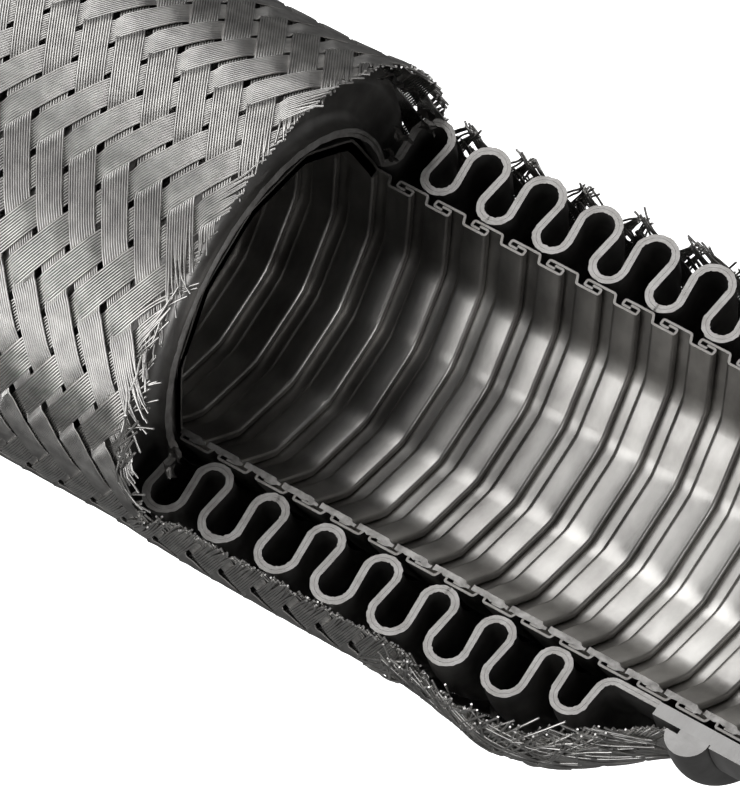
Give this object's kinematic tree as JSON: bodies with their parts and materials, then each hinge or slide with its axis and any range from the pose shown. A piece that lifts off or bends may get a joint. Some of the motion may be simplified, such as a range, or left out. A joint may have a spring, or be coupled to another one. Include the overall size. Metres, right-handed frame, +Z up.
{
  "type": "metal bellows expansion joint",
  "caption": "Braided metal bellows expansion joint with strip-wound liner and pipe stubs, cut open along one side to show its layers.",
  "frame": {"origin": "centre of the inlet pipe's end face", "axes": "+X along the tube towards the outlet, +Z up through the cut window, Y across"},
  "size_m": [0.256, 0.087, 0.0841],
  "materials": {
    "braid_wire": "bright drawn stainless wire, lightly soiled",
    "bellows_steel": "formed stainless sheet, dark inside, ground cut faces",
    "liner_strip": "cold rolled strip, scuffed",
    "weld_bead": "rippled weld metal",
    "pipe_steel": "satin pipe"
  },
  "bodies": {
    "inlet": {"inlet_pipe": "pipe_steel", "inlet_weld": "weld_bead", "braid_inlet_end": "braid_wire", "bellows_outer_ply_inlet_end": "bellows_steel", "bellows_inner_ply_inlet_end": "bellows_steel", "liner_inlet_end": "liner_strip", "braid_flex_1": "braid_wire", "bellows_outer_ply_flex_1": "bellows_steel", "bellows_inner_ply_flex_1": "bellows_steel", "liner_flex_1": "liner_strip"},
    "link_1": {"braid_link_1": "braid_wire", "bellows_outer_ply_link_1": "bellows_steel", "bellows_inner_ply_link_1": "bellows_steel", "liner_link_1": "liner_strip", "braid_flex_2": "braid_wire", "bellows_outer_ply_flex_2": "bellows_steel", "bellows_inner_ply_flex_2": "bellows_steel", "liner_flex_2": "liner_strip"},
    "link_2": {"braid_link_2": "braid_wire", "bellows_outer_ply_link_2": "bellows_steel", "bellows_inner_ply_link_2": "bellows_steel", "liner_link_2": "liner_strip", "braid_flex_3": "braid_wire", "bellows_outer_ply_flex_3": "bellows_steel", "bellows_inner_ply_flex_3": "bellows_steel", "liner_flex_3": "liner_strip"},
    "link_3": {"braid_link_3": "braid_wire", "bellows_outer_ply_link_3": "bellows_steel", "bellows_inner_ply_link_3": "bellows_steel", "liner_link_3": "liner_strip"},
    "link_4": {"braid_flex_4": "braid_wire", "bellows_outer_ply_flex_4": "bellows_steel", "bellows_inner_ply_flex_4": "bellows_steel", "liner_flex_4": "liner_strip", "braid_link_4": "braid_wire", "bellows_outer_ply_link_4": "bellows_steel", "bellows_inner_ply_link_4": "bellows_steel", "liner_link_4": "liner_strip"},
    "outlet": {"outlet_pipe": "pipe_steel", "outlet_weld": "weld_bead", "braid_flex_5": "braid_wire", "bellows_outer_ply_flex_5": "bellows_steel", "bellows_inner_ply_flex_5": "bellows_steel", "liner_flex_5": "liner_strip", "braid_outlet_end": "braid_wire", "bellows_outer_ply_outlet_end": "bellows_steel", "bellows_inner_ply_outlet_end": "bellows_steel", "liner_outlet_end": "liner_strip"}
  },
  "joints": [
    {"name": "inlet_bend_up_down", "type": "hinge", "parent": "inlet", "child": "link_1", "pos_m": [0.0617, 0, 0], "axis": [0, 1, 0], "range_deg": [-4, 4], "stiffness_Nm_per_rad": 60, "deforming": ["braid_flex_1", "bellows_outer_ply_flex_1", "bellows_inner_ply_flex_1", "liner_flex_1"]},
    {"name": "inlet_bend_sideways", "type": "hinge", "parent": "link_1", "child": "link_2", "pos_m": [0.0923, 0, 0], "axis": [0, 0, 1], "range_deg": [-4, 4], "stiffness_Nm_per_rad": 60, "deforming": ["braid_flex_2", "bellows_outer_ply_flex_2", "bellows_inner_ply_flex_2", "liner_flex_2"]},
    {"name": "stretch", "type": "slide", "parent": "link_2", "child": "link_3", "axis": [1, 0, 0], "range_m": [-0.007, 0.005], "stiffness_N_per_m": 30000, "deforming": ["braid_flex_3", "bellows_outer_ply_flex_3", "bellows_inner_ply_flex_3", "liner_flex_3"]},
    {"name": "outlet_bend_sideways", "type": "hinge", "parent": "link_3", "child": "link_4", "pos_m": [0.1637, 0, 0], "axis": [0, 0, 1], "range_deg": [-4, 4], "stiffness_Nm_per_rad": 60, "deforming": ["braid_flex_4", "bellows_outer_ply_flex_4", "bellows_inner_ply_flex_4", "liner_flex_4"]},
    {"name": "outlet_bend_up_down", "type": "hinge", "parent": "link_4", "child": "outlet", "pos_m": [0.1943, 0, 0], "axis": [0, 1, 0], "range_deg": [-4, 4], "stiffness_Nm_per_rad": 60, "deforming": ["braid_flex_5", "bellows_outer_ply_flex_5", "bellows_inner_ply_flex_5", "liner_flex_5"]}
  ]
}
